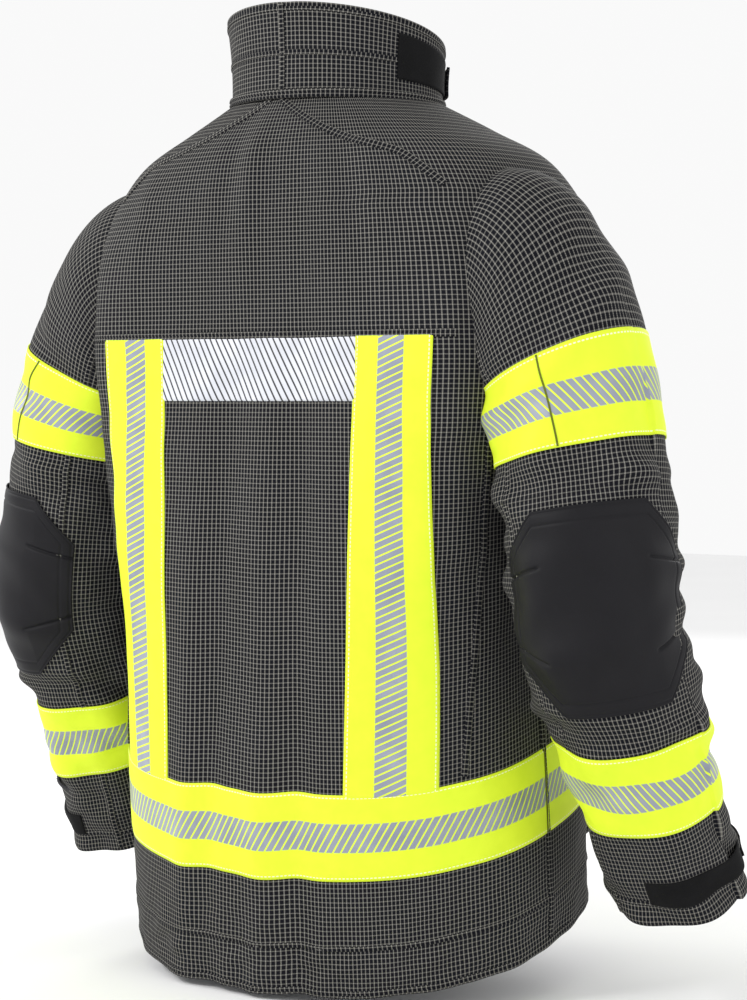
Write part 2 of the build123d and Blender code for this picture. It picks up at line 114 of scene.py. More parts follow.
def make_stage():
    world = bpy.data.worlds.new("studio")
    world.use_nodes = True
    world.node_tree.nodes["Background"].inputs["Color"].default_value = (1, 1, 1, 1)
    world.node_tree.nodes["Background"].inputs["Strength"].default_value = 0.95
    bpy.context.scene.world = world
    bpy.context.scene.view_settings.view_transform = "Standard"
    area_light("key", (1.2, 2.4, 1.5), 0.9, 42)
    area_light("side", (2.4, 0.3, 0.6), 1.0, 16)
    area_light("fill", (-2.6, 0.6, 0.3), 1.6, 8)
    area_light("front", (0.6, -2.8, 0.9), 1.6, 30)
    half = 6
    mesh = bpy.data.meshes.new("floor")
    corners = [
        (-half, -half, FLOOR), (half, -half, FLOOR), (half, half, FLOOR), (-half, half, FLOOR),
    ]
    mesh.from_pydata(corners, [], [(0, 1, 2, 3)])
    floor = bpy.data.objects.new("floor", mesh)
    bpy.context.collection.objects.link(floor)
    floor.data.materials.append(plain_material("floor_paper", (0.9, 0.9, 0.9), 0.9))


# ---------------------------------------------------------------- materials
class Nodes:
    """A small helper for building a node tree."""

    def __init__(self, name):
        self.material = bpy.data.materials.new(name)
        self.material.use_nodes = True
        self.tree = self.material.node_tree
        self.shader = self.tree.nodes["Principled BSDF"]

    def add(self, kind, **settings):
        node = self.tree.nodes.new(kind)
        for key, value in settings.items():
            setattr(node, key, value)
        return node

    def link(self, output, node, socket):
        self.tree.links.new(output, node.inputs[socket])

    def math(self, operation, a, b=None, c=None, clamp=False):
        node = self.add("ShaderNodeMath", operation=operation, use_clamp=clamp)
        for index, value in enumerate((a, b, c)):
            if value is None:
                continue
            if isinstance(value, (int, float)):
                node.inputs[index].default_value = value
            else:
                self.link(value, node, index)
        return node.outputs[0]

    def uv(self):
        """The piece's own cloth coordinates, in metres."""
        node = self.add("ShaderNodeUVMap", uv_map="cloth")
        split = self.add("ShaderNodeSeparateXYZ")
        self.link(node.outputs["UV"], split, 0)
        return node.outputs["UV"], split.outputs["X"], split.outputs["Y"]

    def noise(self, vector, scale, detail=2.0):
        node = self.add("ShaderNodeTexNoise")
        node.inputs["Scale"].default_value = scale
        node.inputs["Detail"].default_value = detail
        if vector is not None:
            self.link(vector, node, "Vector")
        return node.outputs["Fac"]

    def mix(self, factor, a, b):
        node = self.add("ShaderNodeMix", data_type="RGBA")
        if isinstance(factor, (int, float)):
            node.inputs[0].default_value = factor
        else:
            self.link(factor, node, 0)
        for index, value in ((6, a), (7, b)):
            if isinstance(value, tuple):
                node.inputs[index].default_value = (*value, 1)
            else:
                self.link(value, node, index)
        return node.outputs[2]

    def position(self):
        return self.add("ShaderNodeTexCoord").outputs["Object"]

    def stripe(self, value, period, share, soft=0.08):
        """1 inside a stripe that takes a share of each period, with soft edges."""
        phase = self.math("FRACT", self.math("DIVIDE", value, period))
        away = self.math("ABSOLUTE", self.math("SUBTRACT", phase, 0.5))
        edge = self.math("SUBTRACT", share / 2 + soft / 2, away)
        return self.math("DIVIDE", edge, soft, clamp=True)

    def finish(self, color, roughness, height=None, strength=0.3, distance=0.0005):
        self.link(color, self.shader, "Base Color")
        if isinstance(roughness, (int, float)):
            self.shader.inputs["Roughness"].default_value = roughness
        else:
            self.link(roughness, self.shader, "Roughness")
        if height is not None:
            bump = self.add("ShaderNodeBump")
            bump.inputs["Strength"].default_value = strength
            bump.inputs["Distance"].default_value = distance
            self.link(height, bump, "Height")
            self.link(bump.outputs["Normal"], self.shader, "Normal")
        return self.material


def plain_material(name, color, roughness):
    n = Nodes(name)
    shade = n.noise(n.position(), 3)
    dark = tuple(0.96 * c for c in color)
    return n.finish(n.mix(shade, dark, color), roughness)


def shell_material():
    """Near-black ripstop with a fine pale dotted grid."""
    n = Nodes("shell_fabric")
    vector, u, v = n.uv()
    period = 0.0041
    across = n.stripe(u, period, 0.16, 0.20)
    along = n.stripe(v, period, 0.14, 0.20)
    fine_u = n.stripe(u, period / 4, 0.5, 0.5)
    fine_v = n.stripe(v, period / 4, 0.5, 0.5)
    line_u = n.math("MULTIPLY", across, n.math("MULTIPLY_ADD", fine_v, 0.60, 0.30))
    line_v = n.math("MULTIPLY", along, n.math("MULTIPLY_ADD", fine_u, 0.45, 0.20))
    both = n.math("MULTIPLY", across, along)
    grid = n.math("MAXIMUM", line_u, line_v)
    grid = n.math("MULTIPLY_ADD", both, 0.55, n.math("MULTIPLY", grid, 0.75), clamp=True)
    wear = n.noise(vector, 18, 3)
    ground = n.mix(wear, (0.0030, 0.0032, 0.0052), (0.0080, 0.0085, 0.0125))
    color = n.mix(grid, ground, (0.46, 0.445, 0.40))
    weave = n.math("ADD", n.math("MULTIPLY", fine_u, 0.5), n.math("MULTIPLY", fine_v, 0.5))
    height = n.math("MULTIPLY_ADD", weave, 0.35, grid)
    n.shader.inputs["Specular IOR Level"].default_value = 0.10
    return n.finish(color, 0.82, height, 0.35, 0.0003)


def tape_material(name, slant, period, stitch=0.0028):
    """Fluorescent tape with a slashed silver stripe along its middle and stitched edges."""
    n = Nodes(name)
    vector, u, v = n.uv()
    third = TAPE_WIDTH / 3
    in_stripe = n.stripe(n.math("ADD", v, 0.0), TAPE_WIDTH, third / TAPE_WIDTH, 0.01)
    slashed = n.math("MULTIPLY_ADD", v, slant, u)
    slash = n.stripe(slashed, period, 0.78, 0.06)
    silver = n.math("MULTIPLY", in_stripe, slash)
    dash = n.stripe(u, 0.0036, 0.6, 0.15)
    low = n.math("LESS_THAN", n.math("ABSOLUTE", n.math("SUBTRACT", v, stitch)), 0.00045)
    high_line = n.math("SUBTRACT", v, TAPE_WIDTH - stitch)
    high = n.math("LESS_THAN", n.math("ABSOLUTE", high_line), 0.00045)
    stitches = n.math("MULTIPLY", n.math("ADD", low, high), dash)
    mottle = n.noise(vector, 60, 3)
    yellow = n.mix(mottle, (0.64, 0.80, 0.015), (0.76, 0.90, 0.030))
    grey = n.mix(n.noise(vector, 35, 2), (0.17, 0.19, 0.25), (0.36, 0.39, 0.46))
    color = n.mix(silver, yellow, grey)
    color = n.mix(stitches, color, (0.86, 0.90, 0.62))
    fine = n.math("MULTIPLY", n.stripe(u, 0.0008, 0.5, 0.5), n.stripe(v, 0.0008, 0.5, 0.5))
    height = n.math("MULTIPLY_ADD", silver, 0.6, n.math("MULTIPLY", fine, 0.3))
    height = n.math("SUBTRACT", height, n.math("MULTIPLY", stitches, 1.2))
    roughness = n.math("MULTIPLY_ADD", silver, -0.32, 0.72)
    yellow_glow = n.mix(silver, (0.62, 0.85, 0.0), (0.05, 0.05, 0.06))
    n.link(yellow_glow, n.shader, "Emission Color")
    n.shader.inputs["Emission Strength"].default_value = 0.10
    return n.finish(color, roughness, height, 0.3, 0.0003)


def patch_material():
    """Silver reflective panel with thin dark slanting gaps."""
    n = Nodes("silver_tape")
    vector, u, v = n.uv()
    slashed = n.math("MULTIPLY_ADD", v, -0.55, u)
    gap = n.stripe(slashed, 0.0064, 0.27, 0.1)
    sparkle = n.noise(vector, 22, 3)
    silver = n.mix(sparkle, (0.42, 0.44, 0.50), (0.90, 0.91, 0.95))
    color = n.mix(gap, silver, (0.012, 0.012, 0.016))
    height = n.math("SUBTRACT", 1, gap)
    return n.finish(color, 0.38, height, 0.3, 0.0003)


def noise_cloth(name, dark, light, scale, roughness, bump=0.3, distance=0.0004):
    n = Nodes(name)
    n.shader.inputs["Specular IOR Level"].default_value = 0.16
    vector = n.position()
    grain = n.noise(vector, scale, 4)
    tone = n.noise(vector, scale / 30, 2)
    color = n.mix(n.math("MULTIPLY_ADD", tone, 0.6, n.math("MULTIPLY", grain, 0.4)), dark, light)
    return n.finish(color, roughness, grain, bump, distance)


def lining_material():
    """Dark quilted lining, sewn in diamonds."""
    n = Nodes("liner_fabric")
    vector, u, v = n.uv()
    one = n.stripe(n.math("ADD", u, v), 0.05, 0.03, 0.03)
    two = n.stripe(n.math("SUBTRACT", u, v), 0.05, 0.03, 0.03)
    quilt = n.math("MAXIMUM", one, two)
    base = n.mix(n.noise(vector, 40, 2), (0.035, 0.04, 0.055), (0.06, 0.065, 0.085))
    color = n.mix(quilt, base, (0.015, 0.017, 0.024))
    return n.finish(color, 0.7, n.math("SUBTRACT", 1, quilt), 0.5, 0.001)


def knit_material():
    n = Nodes("knit")
    _, u, v = n.uv()
    rib = n.stripe(u, 0.004, 0.5, 0.5)
    loops = n.stripe(v, 0.0016, 0.5, 0.5)
    # painted shade: the knit is darker in the hollows between its ribs and lighter on their crests
    color = n.mix(rib, (0.008, 0.008, 0.010), (0.03, 0.03, 0.036))
    height = n.math("MULTIPLY_ADD", loops, 0.25, rib)
    return n.finish(color, 0.9, height, 0.6, 0.0008)


def metal_material():
    n = Nodes("zip_metal")
    wear = n.noise(n.position(), 160, 3)
    color = n.mix(wear, (0.30, 0.24, 0.13), (0.55, 0.45, 0.26))
    n.shader.inputs["Metallic"].default_value = 1.0
    roughness = n.math("MULTIPLY_ADD", wear, 0.25, 0.28)
    return n.finish(color, roughness, wear, 0.1, 0.0002)


MATERIALS = {
    "shell_fabric": shell_material(),
    "yellow_tape": tape_material("yellow_tape", -0.62, 0.0074),
    "upright_tape": tape_material("upright_tape", 0.42, 0.0064),
    "silver_tape": patch_material(),
    "pad_fabric": noise_cloth(
        "pad_fabric", (0.005, 0.0048, 0.0062), (0.013, 0.0125, 0.015), 900, 0.55
    ),
    "loop_fabric": noise_cloth(
        "loop_fabric", (0.002, 0.002, 0.002), (0.014, 0.014, 0.015), 1400, 1.0, 0.9
    ),
    "liner_fabric": lining_material(),
    "knit": knit_material(),
    "zip_tape": noise_cloth("zip_tape", (0.010, 0.010, 0.012), (0.028, 0.028, 0.032), 1100, 0.9),
    "webbing": noise_cloth("webbing", (0.010, 0.010, 0.012), (0.035, 0.035, 0.038), 800, 0.85),
    "zip_metal": metal_material(),
    "thread": noise_cloth("thread", (0.05, 0.06, 0.012), (0.22, 0.26, 0.02), 700, 0.7),
}


# ---------------------------------------------------------------- shapes
def smooth_table(positions, columns):
    """A smooth curve through each column of a table, as a function of position."""
    positions = np.asarray(positions, float)
    columns = np.asarray(columns, float)
    slopes = np.gradient(columns, positions, axis=0)

    def at(t):
        t = np.clip(np.asarray(t, float), positions[0], positions[-1])
        i = np.clip(np.searchsorted(positions, t, side="right") - 1, 0, len(positions) - 2)
        h = (positions[i + 1] - positions[i])[..., None]
        f = ((t - positions[i]) / (positions[i + 1] - positions[i]))[..., None]
        a, b = columns[i], columns[i + 1]
        m, k = slopes[i] * h, slopes[i + 1] * h
        return (
            (2 * f**3 - 3 * f**2 + 1) * a
            + (f**3 - 2 * f**2 + f) * m
            + (-2 * f**3 + 3 * f**2) * b
            + (f**3 - f**2) * k
        )

    return at


def smooth_step(low, high, x):
    f = np.clip((x - low) / (high - low), 0, 1)
    return f * f * (3 - 2 * f)


def bump(x, centre, width):
    return np.exp(-(((x - centre) / width) ** 2))


def ripple(u, v, scale, seed):
    """Soft uneven creases between -1 and 1, the same on every run."""
    rng = np.random.RandomState(seed)
    total = 0
    for _ in range(7):
        angle = rng.uniform(0, math.pi)
        rate = rng.uniform(0.6, 1.7) / scale
        phase = rng.uniform(0, 2 * math.pi)
        bend = rng.uniform(0.5, 1.5) * np.sin(2 * v / scale + rng.uniform(0, 6))
        along = u * math.cos(angle) + v * math.sin(angle)
        total = total + np.sin(along * rate * 2 + phase + bend)
    return total / 4


# distance down the cloth from the collar seam, then height, half width, front, back, squareness
TORSO = smooth_table(
    [0, 0.058, 0.118, 0.172, 0.272, 0.382, 0.492, 0.662, 0.835],
    [
        (0.000, 0.093, -0.088, 0.089, 2.0),
        (-0.028, 0.145, -0.118, 0.106, 2.3),
        (-0.058, 0.193, -0.137, 0.116, 2.8),
        (-0.108, 0.217, -0.148, 0.119, 4.0),
        (-0.210, 0.223, -0.1557, 0.119, 7.0),
        (-0.320, 0.214, -0.1641, 0.124, 5.0),
        (-0.430, 0.209, -0.1725, 0.128, 3.4),
        (-0.600, 0.214, -0.1855, 0.133, 2.5),
        (-0.773, 0.215, -0.1990, 0.128, 2.3),
    ],
)
YOKE_T, HEM_T = 0.272, 0.809
WAIST_T = 0.632  # the waist band's top edge
HEM_TILT = 0.26  # the fall of waist and hem towards the back, per metre of depth
FRONT_GAP = math.radians(2.2)  # from the middle of the front to each cloth edge beside the zip
BACK_TAPE_X = (0.142, 0.133)  # an upright back band's middle at the yoke and at the waist


def torso_surface(angle, t, offset=0.0):
    """Points on the coat's body. The angle runs from the front edge over the wearer's left."""
    angle, t = np.broadcast_arrays(np.asarray(angle, float), np.asarray(t, float))
    z, half, front, back, power = np.moveaxis(TORSO(t), -1, 0)
    depth, middle = (back - front) / 2, (back + front) / 2
    s, c = np.sin(angle), np.cos(angle)
    radius = ((np.abs(s) / half) ** power + (np.abs(c) / depth) ** power) ** (-1 / power)
    radius = radius + torso_folds(angle, t, radius * s) + offset
    x, y = radius * s, middle - radius * c
    z = z - HEM_TILT * y * smooth_step(0.3, 0.62, t)
    lift = np.where(t < 0.17, offset * (1 - t / 0.17), 0)
    return np.stack([x, y, z + lift], -1)


def torso_folds(angle, t, x):
    """How far the cloth stands out from its plain form."""
    back = smooth_step(math.radians(100), math.radians(150), angle) * (
        1 - smooth_step(math.radians(210), math.radians(260), angle)
    )
    hang = smooth_step(0.20, 0.45, t)
    side = np.abs(np.sin(angle)) ** 3
    out = 0.0050 * bump(x, 0.07, 0.020) * smooth_step(0.3, 0.6, t) * back
    out += -0.0055 * bump(x, 0.035 + 0.06 * (t - 0.4), 0.018) * hang * back
    out += 0.0050 * bump(x, -0.012, 0.020) * hang * back
    out += -0.0048 * bump(x, -0.05, 0.016) * hang * back
    out += -0.004 * bump(np.abs(x), 0.185, 0.012) * smooth_step(0.25, 0.4, t) * back
    out += 0.0022 * bump(x, 0.03, 0.03) * bump(t, 0.16, 0.06) * back
    out += 0.0020 * ripple(angle * 0.2, t * 0.45, 0.055, 3) * smooth_step(0.10, 0.3, t)
    out += 0.0032 * ripple(angle * 0.2, t, 0.032, 8) * side * bump(t, 0.40, 0.12)
    out += 0.0014 * ripple(angle * 0.2, t, 0.016, 5) * smooth_step(0.70, 0.80, t)
    armhole = smooth_step(0.13, 0.20, t) * (1 - smooth_step(0.38, 0.50, t))
    out += -0.0100 * bump(np.abs(x), 0.210, 0.011) * armhole * back
    out += 0.0040 * bump(x, 0.005 + 0.06 * (t - 0.1), 0.012) * bump(t, 0.12, 0.09) * back
    out += -0.0030 * bump(x, 0.030 + 0.10 * (t - 0.1), 0.012) * bump(t, 0.13, 0.09) * back
    out += 0.0040 * bump(x, -0.105 - 0.25 * (t - 0.1), 0.014) * bump(t, 0.14, 0.09) * back
    out += -0.0035 * bump(x, -0.082 - 0.25 * (t - 0.1), 0.013) * bump(t, 0.15, 0.09) * back
    out += 0.0030 * bump(x, 0.125 + 0.15 * (t - 0.1), 0.013) * bump(t, 0.15, 0.08) * back
    at_edge = np.minimum(angle, 2 * math.pi - angle)
    out += -0.0035 * (1 - smooth_step(math.radians(4), math.radians(14), at_edge))
    return out


def torso_angle(x, t, back=True):
    """The angle at which the body's cloth reaches x, behind or in front."""
    spread = np.linspace(math.pi / 2, math.pi, 300) if back else np.linspace(math.pi / 2, 0, 300)
    _, half, front, rear, power = TORSO(t)
    depth = (rear - front) / 2
    s, c = np.sin(spread), np.abs(np.cos(spread))
    radius = ((s / half) ** power + (c / depth) ** power) ** (-1 / power)
    found = float(np.interp(-abs(x), -(radius * s), spread))
    return found if x >= 0 else 2 * math.pi - found


# ring centre, radius outwards and upwards, radius front to back, lean of the ring outwards and
# forwards in degrees; distance down the sleeve first
SLEEVE = smooth_table(
    [0, 0.032, 0.060, 0.090, 0.130, 0.182, 0.248, 0.318, 0.390, 0.462, 0.535, 0.590],
    [
        (0.178, 0.016, -0.150, 0.083, 0.074, 88, 0),
        (0.202, 0.017, -0.158, 0.088, 0.081, 76, 0),
        (0.220, 0.019, -0.174, 0.084, 0.083, 58, 0),
        (0.236, 0.022, -0.200, 0.077, 0.082, 40, 0),
        (0.253, 0.025, -0.242, 0.073, 0.079, 24, 0),
        (0.271, 0.030, -0.292, 0.072, 0.077, 15, 0),
        (0.285, 0.038, -0.360, 0.071, 0.075, 10, -2),
        (0.296, 0.043, -0.430, 0.070, 0.074, 4, 6),
        (0.303, 0.032, -0.500, 0.068, 0.070, 1, 15),
        (0.308, 0.007, -0.570, 0.062, 0.064, -1, 20),
        (0.314, -0.023, -0.638, 0.058, 0.060, -2, 22),
        (0.318, -0.047, -0.688, 0.058, 0.060, -3, 23),
    ],
)
SLEEVE_END = 0.588
UPPER_BAND_V = (0.126, 0.200)
LOWER_BAND_V = (0.431, 0.502)
CUFF_STRIP_V = (0.547, 0.569)
SLEEVE_SPLIT_V = 0.236
PAD_V = (0.246, 0.396)
PAD_FACING, PAD_HALF_TURN = math.radians(57), math.radians(72)
SLEEVE_CLOTH_RADIUS = 0.0735  # turns an angle around a sleeve into a length of cloth
WRISTLET_RADIUS = 0.0395


def sleeve_surface(side, angle, v, offset=0.0):
    """Points on a sleeve. The angle is 0 at the outside, 90 degrees at the back."""
    angle, v = np.broadcast_arrays(np.asarray(angle, float), np.asarray(v, float))
    cx, cy, cz, wide, deep, lean_out, lean_front = np.moveaxis(SLEEVE(v), -1, 0)
    cy = cy - 0.018 * smooth_step(0.34, 0.45, v)
    if side == 1:  # this arm hangs a little nearer to the body
        cx = cx - 0.013 * smooth_step(0.14, 0.32, v)
        cy = cy - 0.008 * smooth_step(0.14, 0.32, v)
    out, front = np.radians(lean_out), np.radians(lean_front)
    folds = sleeve_folds(side, angle, v) + offset
    a = (wide + folds) * np.cos(angle)
    b = (deep + folds) * np.sin(angle)
    x = cx + a * np.cos(out)
    y = cy + b * np.cos(front)
    z = cz + a * np.sin(out) - b * np.sin(front)
    return np.stack([side * x, y, z], -1)


def sleeve_folds(side, angle, v):
    seed = 20 if side == 1 else 30
    around = angle * 0.072
    under_pad = bump(np.cos(angle - PAD_FACING), 1, 0.9) * bump(v, 0.326, 0.085)
    free = 1 - 0.85 * under_pad
    inside = 0.5 - 0.5 * np.sin(angle)
    rings = np.sin(2 * math.pi * (v - 0.318) / 0.034 + 1.2 * np.sin(angle * 2 + side))
    out = 0.0050 * bump(v, 0.318, 0.07) * inside * rings
    out += 0.0030 * ripple(around, v, 0.024, seed) * smooth_step(0.14, 0.26, v)
    out += 0.0052 * ripple(around * 0.6, v * 1.2, 0.020, seed + 1) * bump(v, 0.226, 0.022)
    out += 0.0060 * ripple(around * 0.7, v * 1.3, 0.024, seed + 2) * bump(v, 0.418, 0.022)
    out += 0.0030 * ripple(around, v, 0.034, seed + 3) * smooth_step(0.02, 0.1, v)
    diagonal = v - 0.120 - 0.035 * np.sin(angle - 0.6)
    out += 0.0030 * bump(diagonal, 0, 0.010) - 0.0030 * bump(diagonal, -0.024, 0.010)
    slanted = v - 0.448 + 0.030 * np.sin(angle - 0.2)
    out += 0.0042 * bump(slanted, -0.024, 0.008) - 0.0035 * bump(slanted, -0.007, 0.009)
    out = out * free + 0.0012 * bump(v, SLEEVE_END - 0.004, 0.006)
    return out * smooth_step(0.0, 0.05, v)


COLLAR_HALF = (0.0920, 0.0885)


def collar_surface(angle, t, offset=0.0):
    """The stand-up collar; t runs from its seam, 0, to its top edge, 1."""
    angle, t = np.broadcast_arrays(np.asarray(angle, float), np.asarray(t, float))
    back = (1 - np.cos(angle)) / 2
    top = 0.038 + 0.0425 * back
    flare = 0.0035 * t + 0.0012 * np.sin(3 * angle + 1) * t
    half, depth = COLLAR_HALF
    roll = -0.0016 * np.sin(math.pi * t)
    crease = -0.0016 * bump(angle, math.radians(188), 0.06) * t
    r = flare + roll + crease + offset
    x, y = (half + r) * np.sin(angle), -(depth + r) * np.cos(angle)
    base = -0.004 + 0.004 * back
    return np.stack([x, y, base + (top - base) * t], -1)


# ---------------------------------------------------------------- meshes
def grid_uv(points):
    """Cloth coordinates in metres, measured along the middle row and column."""
    rows, columns = points.shape[:2]
    middle = points[rows // 2]
    u = np.concatenate([[0], np.cumsum(np.linalg.norm(np.diff(middle, axis=0), axis=1))])
    line = points[:, columns // 2]
    v = np.concatenate([[0], np.cumsum(np.linalg.norm(np.diff(line, axis=0), axis=1))])
    return np.stack(np.meshgrid(u, v), -1)


def grid_object(name, points, uv, material, thickness=0.0, inner=None, closed=False):
    """A sheet from a grid of points. thickness is given by an inner layer and a rim."""
    rows, columns = points.shape[:2]
    layers = [points]
    if thickness:
        normal = grid_normals(points, closed)
        layers.append(points - thickness * normal)
    vertices = np.concatenate([p.reshape(-1, 3) for p in layers])
    count = rows * columns
    i, j = np.meshgrid(np.arange(rows - 1), np.arange(columns - 1), indexing="ij")
    a = (i * columns + j).ravel()
    quads = np.stack([a, a + columns, a + columns + 1, a + 1], 1)
    faces = [quads]
    inner_faces = 0
    if thickness:
        faces.append(quads[:, ::-1] + count)
        inner_faces = len(quads)
        loops = [
            np.arange(columns),
            (rows - 1) * columns + np.arange(columns)[::-1],
        ]
        if not closed:
            loops.append(np.arange(rows)[::-1] * columns)
            loops.append(np.arange(rows) * columns + columns - 1)
        for loop in loops:
            p, q = loop[:-1], loop[1:]
            faces.append(np.stack([p, q, q + count, p + count], 1))
    faces = np.concatenate(faces)
    corner_uv = np.concatenate([uv.reshape(-1, 2)] * len(layers))[faces.ravel()]
    if closed:  # the last column is the first one again
        faces = np.where(faces % columns == columns - 1, faces - columns + 1, faces)
        used, faces = np.unique(faces, return_inverse=True)
        vertices, faces = vertices[used], faces.reshape(-1, 4)
    mesh = bpy.data.meshes.new(name)
    mesh.from_pydata(vertices.tolist(), [], faces.tolist())
    layer = mesh.uv_layers.new(name="cloth")
    layer.data.foreach_set("uv", corner_uv.astype(np.float32).ravel())
    mesh.materials.append(MATERIALS[material])
    if inner:
        mesh.materials.append(MATERIALS[inner])
        slots = np.zeros(len(faces), np.int32)
        slots[len(quads) : len(quads) + inner_faces] = 1
        mesh.polygons.foreach_set("material_index", slots)
    mesh.polygons.foreach_set("use_smooth", [True] * len(faces))
    mesh.validate()
    mesh.update()
    ob = bpy.data.objects.new(name, mesh)
    bpy.context.collection.objects.link(ob)
    return ob


def grid_normals(points, closed=False):
    across = np.gradient(points, axis=1)
    down = np.gradient(points, axis=0)
    if closed:
        ends = (points[:, 1] - points[:, -2]) / 2
        across[:, 0], across[:, -1] = ends, ends
    normal = np.cross(down, across)
    return normal / np.maximum(np.linalg.norm(normal, axis=-1, keepdims=True), 1e-9)


def patch(name, surface, angles, levels, offset, thickness, material, size, body=None, **more):
    """A sewn-on piece over part of a surface. angles is a pair, or a function that gives one."""
    columns, rows = size
    f = np.linspace(0, 1, columns)
    g = np.linspace(0, 1, rows)
    ff, gg = np.meshgrid(f, g)
    level = levels[0] + (levels[1] - levels[0]) * gg
    if callable(angles):
        start, end = angles(gg)
    else:
        start, end = angles
    angle = start + (end - start) * ff
    edge = np.minimum(np.minimum(ff, 1 - ff) * (columns - 1), np.minimum(gg, 1 - gg) * (rows - 1))
    rise = offset - more.pop("tuck", 0.0004) * (edge < 0.5)
    points = surface(angle, level, rise)
    uv = grid_uv(points)
    if more.pop("flip", False):
        uv = uv[..., ::-1]
    if "width" in more:
        uv[..., 1] *= more.pop("width") / max(uv[..., 1].max(), 1e-6)
    outward = grid_normals(points)
    centre = rows // 2, columns // 2
    probe = surface(angle[centre], level[centre], offset + 0.01)
    if np.dot(probe - points[centre], outward[centre]) < 0:
        points, uv = points[:, ::-1], uv[:, ::-1]
    ob = grid_object(name, points, uv, material, thickness, more.pop("inner", None))
    if body:
        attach(ob, body)
    return ob


def strip(name, surface, path, width, rise, material, body=None, samples=90):
    """A narrow seam ridge that follows a path of (angle, level) points over a surface."""
    path = np.asarray(path, float)
    t = np.linspace(0, len(path) - 1, samples)
    angle = np.interp(t, range(len(path)), path[:, 0])
    level = np.interp(t, range(len(path)), path[:, 1])
    kernel = np.ones(9) / 9
    if len(path) > 2:
        angle = np.convolve(np.pad(angle, 4, "edge"), kernel, "valid")
        level = np.convolve(np.pad(level, 4, "edge"), kernel, "valid")
    base = surface(angle, level, 0.0)
    up = surface(angle, level, 0.01) - base
    up = up / np.linalg.norm(up, axis=1, keepdims=True)
    along = np.gradient(base, axis=0)
    side = np.cross(along, up)
    side = side / np.linalg.norm(side, axis=1, keepdims=True)
    profile = [
        (-0.5, -0.0006), (-0.46, 0.8), (-0.2, 1.0), (0, 0.55),
        (0.2, 1.0), (0.46, 0.8), (0.5, -0.0006),
    ]
    rows = []
    for across, height in profile:
        high = height * rise if height > 0 else -0.0006
        rows.append(base + side * (across * width) + up * high)
    points = np.stack(rows, 0)
    if np.dot(grid_normals(points)[3, samples // 2], up[samples // 2]) < 0:
        points = points[::-1]
    ob = grid_object(name, points, grid_uv(points), material)
    if body:
        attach(ob, body)
    return ob


# ---------------------------------------------------------------- body of the coat
def front_edges(g):
    """The two front edges: they meet above the zip and part beside it."""
    gap = 0.0015 + FRONT_GAP * smooth_step(0.150, 0.168, HEM_T * g)
    return 2 * math.pi - gap, gap


def make_torso():
    shell = patch(
        "coat_shell", torso_surface, front_edges, (0, HEM_T), 0, 0.003, "shell_fabric", (620, 330),
        "torso", inner="liner_fabric", tuck=0,
    )
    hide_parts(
        "back_yoke", "back_panel", "shoulder_panel_left", "shoulder_panel_right",
        "front_panel_left", "front_panel_right",
    )
    lining = patch(
        "coat_lining", torso_surface, (2 * math.pi - 0.11, 0.11), (0.01, HEM_T - 0.04), -0.006,
        0.002, "liner_fabric", (240, 140), "torso", tuck=0,
    )
    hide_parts("torso_liner")


def seam(name, path, width=0.007, rise=0.0013, surface=torso_surface, body="torso"):
    ob = strip(name, surface, path, width, rise, "shell_fabric", body)
    return ob


def make_seams():
    full = 2 * math.pi
    yoke_ends = torso_angle(0.205, YOKE_T), torso_angle(-0.205, YOKE_T)
    seam("yoke_seam", [(yoke_ends[0], YOKE_T), (math.pi, YOKE_T), (yoke_ends[1], YOKE_T)])
    for side, name in SIDES:
        def at(degrees):
            return math.radians(180 - side * degrees)

        seam(
            f"shoulder_seam_{name}",
            [(at(3), 0.004), (at(20), 0.045), (at(40), 0.095), (at(52), 0.115), (at(60), 0.150)],
        )
        seam(f"side_seam_{name}", [(at(86), 0.36), (at(86), 0.60), (at(87), HEM_T - 0.002)], 0.006)
        seam(f"back_side_seam_{name}", [(at(66), 0.300), (at(66), 0.45), (at(62), WAIST_T)], 0.006)
        front_end = math.radians(side * 80) % full
        front_start = math.radians(side * 4) % full
        seam(f"front_yoke_seam_{name}", [(front_start, 0.165), (front_end, 0.165)])
    hem = [(math.radians(a), HEM_T - 0.043) for a in (4, 90, 180, 270, 356)]
    seam("hem_seam", hem, 0.0045, 0.0009)
    edge = [(math.radians(a), HEM_T - 0.004) for a in (4, 90, 180, 270, 356)]
    seam("hem_edge", edge, 0.005, 0.0007)


